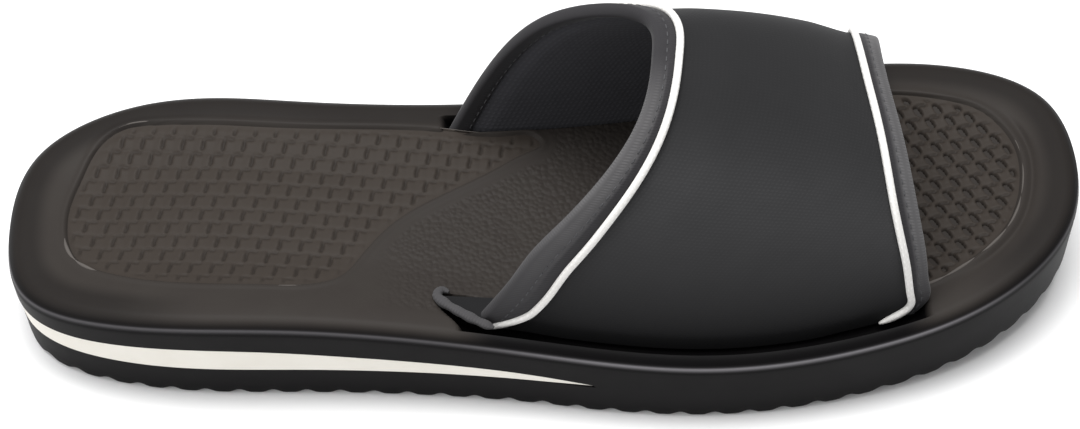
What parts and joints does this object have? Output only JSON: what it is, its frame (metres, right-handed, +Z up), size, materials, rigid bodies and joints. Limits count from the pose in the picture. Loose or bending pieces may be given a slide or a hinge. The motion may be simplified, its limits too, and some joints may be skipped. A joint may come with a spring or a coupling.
{
  "type": "sport slide sandal",
  "caption": "Open slide sandal for the right foot: a thick foam sole with a raised rim, a white side wedge and one wide arched strap with taped, piped edges.",
  "frame": {"origin": "under the middle of the sole, on the plane that the sandal stands on", "axes": "+X towards the toe, +Y towards the inner side of the foot, +Z up"},
  "size_m": [0.29, 0.1, 0.0893],
  "materials": {
    "outsole_foam": "moulded foam rubber, satin black",
    "wedge_foam": "cut white foam, matt",
    "footbed_foam": "moulded black-brown foam, embossed and satin",
    "strap_cloth": "knit-faced padded cloth, matt black",
    "binding_tape": "woven tape, dark grey",
    "piping_cord": "covered cord, white"
  },
  "bodies": {
    "root": {"outsole": "outsole_foam", "midsole_wedge": "wedge_foam", "footbed": "footbed_foam", "upper_strap": "strap_cloth", "binding_back": "binding_tape", "binding_front": "binding_tape", "piping_back": "piping_cord", "piping_front": "piping_cord"}
  },
  "joints": []
}
